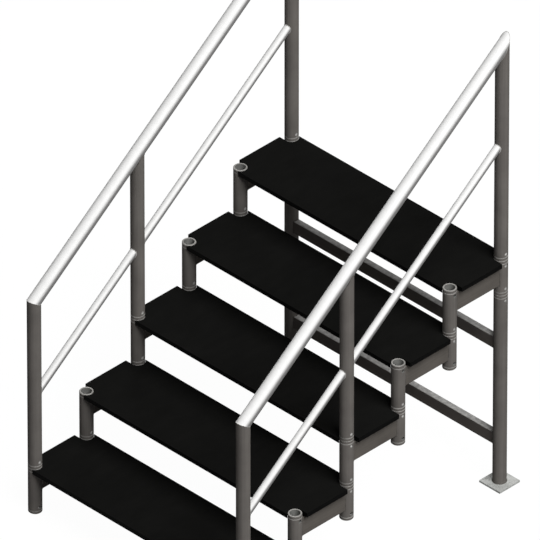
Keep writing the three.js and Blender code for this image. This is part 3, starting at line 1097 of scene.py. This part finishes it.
leg_tube, plate = leg(), base_plate()
for side in SIDE_NAMES:
    x = axis_x[side]
    piece(
        f"{side}_leg_tube", leg_tube.moved(x, leg_y, 0), "flight", COLUMN_SKINS,
        [f"{side}_leg"], tube_at=(x, leg_y),
    )
    piece(
        f"{side}_foot_plate", plate.moved(x, leg_y, 0), "flight", PLATE_SKINS,
        [f"{side}_base_plate"], flat=True,
    )
for level in ("lower", "upper"):
    low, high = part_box(f"{level}_crossbar")
    bar = crossbar((high.y - low.y) / MM, (high.z - low.z) / MM)
    bar = bar.moved(left_x, leg_y, (low.z + high.z) / 2 / MM)
    piece(f"{level}_brace", bar, "flight", BAR_SKINS, [f"{level}_crossbar"], flat=True)

middle_y = (MIDDLE_TREAD - 1) * going
posts = {
    "front": (0, post(rise, mitre(0, line_height(HANDRAIL_HEIGHT, 0), uphill))),
    "middle": (middle_y, middle_post()),
    "rear": (run, post(len(TREADS) * rise, mitre(0, line_height(HANDRAIL_HEIGHT, run), -uphill))),
}
top_rail = handrail()
knees = {"lower": knee_rail(0, middle_y), "upper": knee_rail(middle_y, run)}
pin, plugs = cross_pin(), wall_plugs()
joints = [(front_y + k * going, k * rise) for k in TREADS[:-1]] + [(leg_y, leg_top)]
feet = [(front_y, rise), (front_y + middle_y, MIDDLE_TREAD * rise), (front_y + run, len(TREADS) * rise)]
for side in SIDE_NAMES:
    x, body = axis_x[side], f"{side}_guard"
    for name, (y, solid) in posts.items():
        piece(
            f"{side}_{name}_upright", solid.moved(x, front_y + y, 0), body, COLUMN_SKINS,
            [f"{side}_{name}_post"], tube_at=(x, front_y + y),
        )
    piece(
        f"{side}_top_rail", top_rail.moved(x, front_y, 0), body, BRIGHT_SKINS,
        [f"{side}_handrail"],
    )
    for name, solid in knees.items():
        piece(
            f"{side}_{name}_knee_tube", solid.moved(x, front_y, 0), body, BRIGHT_SKINS,
            [f"{side}_{name}_knee_rail"],
        )
    joint_pins = [pin.moved(x, y, z + up) for y, z in joints for up in (-PIN_OFFSET, PIN_OFFSET)]
    joint_pins += [plugs.moved(x, y, z - PIN_OFFSET) for y, z in feet]
    piece(f"{side}_joint_pins", Solid().joined(*joint_pins), "flight", PIN_SKINS)
    post_pins = [pin.moved(x, y, z + PIN_OFFSET) for y, z in feet]
    piece(f"{side}_post_pins", Solid().joined(*post_pins), body, PIN_SKINS)


# Stage: the floor and the world show white, and the floor keeps the shadow
FLOOR_SIZE = 30.0
FLOOR_LEVEL = -0.0005
FLOOR_GLOW_SHARE = 0.8
FLOOR_GLOW = 1.22
FLOOR_SHADE = 0.2
WORLD_LIGHT = 0.08
LIGHT_TARGET = Vector((0, 0, 0.8))
LIGHT_DISTANCE = 24.0


def seen_share(tree):
    """1 for rays of the camera, gloss and glass, 0 for light that bounces on."""
    path = add(tree, "ShaderNodeLightPath")
    share = math_node(tree, "MAXIMUM", path.outputs["Is Camera Ray"], path.outputs["Is Glossy Ray"])
    return math_node(tree, "MAXIMUM", share, path.outputs["Is Transmission Ray"])


def floor():
    half = FLOOR_SIZE / 2
    mesh = bpy.data.meshes.new("floor")
    corners = [(-half, -half), (half, -half), (half, half), (-half, half)]
    mesh.from_pydata([(x, y, FLOOR_LEVEL) for x, y in corners], [], [(0, 1, 2, 3)])
    made = bpy.data.objects.new("floor", mesh)
    bpy.context.scene.collection.objects.link(made)
    material = bpy.data.materials.new("floor")
    material.use_nodes = True
    tree = material.node_tree
    tree.nodes.clear()
    matt = add(tree, "ShaderNodeBsdfDiffuse", {"Color": (FLOOR_SHADE, FLOOR_SHADE, FLOOR_SHADE, 1)})
    glow = add(tree, "ShaderNodeEmission", {"Color": (1, 1, 1, 1), "Strength": FLOOR_GLOW})
    share = math_node(tree, "MULTIPLY", seen_share(tree), FLOOR_GLOW_SHARE)
    mix = add(tree, "ShaderNodeMixShader", {0: share, 1: matt.outputs[0], 2: glow.outputs[0]})
    output = add(tree, "ShaderNodeOutputMaterial")
    tree.links.new(mix.outputs[0], output.inputs["Surface"])
    mesh.materials.append(material)


def world():
    made = bpy.data.worlds.new("studio")
    bpy.context.scene.world = made
    made.use_nodes = True
    tree = made.node_tree
    tree.nodes.clear()
    soft = add(tree, "ShaderNodeBackground", {"Color": (1, 1, 1, 1), "Strength": WORLD_LIGHT})
    white = add(tree, "ShaderNodeBackground", {"Color": (1, 1, 1, 1), "Strength": 1.0})
    mix = add(tree, "ShaderNodeMixShader", {0: seen_share(tree), 1: soft.outputs[0], 2: white.outputs[0]})
    output = add(tree, "ShaderNodeOutputWorld")
    tree.links.new(mix.outputs[0], output.inputs["Surface"])


def softbox(name, direction, size, level):
    """Square softbox. Level is the light that it gives a white card that faces it."""
    data = bpy.data.lights.new(name, "AREA")
    data.size = size
    data.energy = level * (math.pi * LIGHT_DISTANCE) ** 2
    made = bpy.data.objects.new(name, data)
    bpy.context.scene.collection.objects.link(made)
    way = Vector(direction).normalized()
    made.location = LIGHT_TARGET + way * LIGHT_DISTANCE
    made.rotation_euler = way.to_track_quat("Z", "Y").to_euler()


floor()
world()
softbox("key", direction=(0.602, -0.095, 0.793), size=14.0, level=1.06)
softbox("back", direction=(-0.704, 0.704, 0.087), size=9.0, level=0.45)


# Camera: the photo is an isometric view, so a very long lens stands in for it
LENS = 1650.0
SENSOR = 36.0
VIEW_WIDTH = 1.8607
VIEW_TARGET = Vector((-0.2497, 0.2491, 0.6999))


def camera():
    data = bpy.data.cameras.new("camera")
    data.lens = LENS
    data.sensor_width = SENSOR
    distance = VIEW_WIDTH * LENS / SENSOR
    data.clip_start = 1.0
    data.clip_end = 2 * distance
    made = bpy.data.objects.new("camera", data)
    bpy.context.scene.collection.objects.link(made)
    way = Vector((1, -1, 1)).normalized()
    made.location = VIEW_TARGET + way * distance
    made.rotation_euler = way.to_track_quat("Z", "Y").to_euler()
    bpy.context.scene.camera = made


camera()
bpy.context.scene.view_settings.view_transform = "Standard"
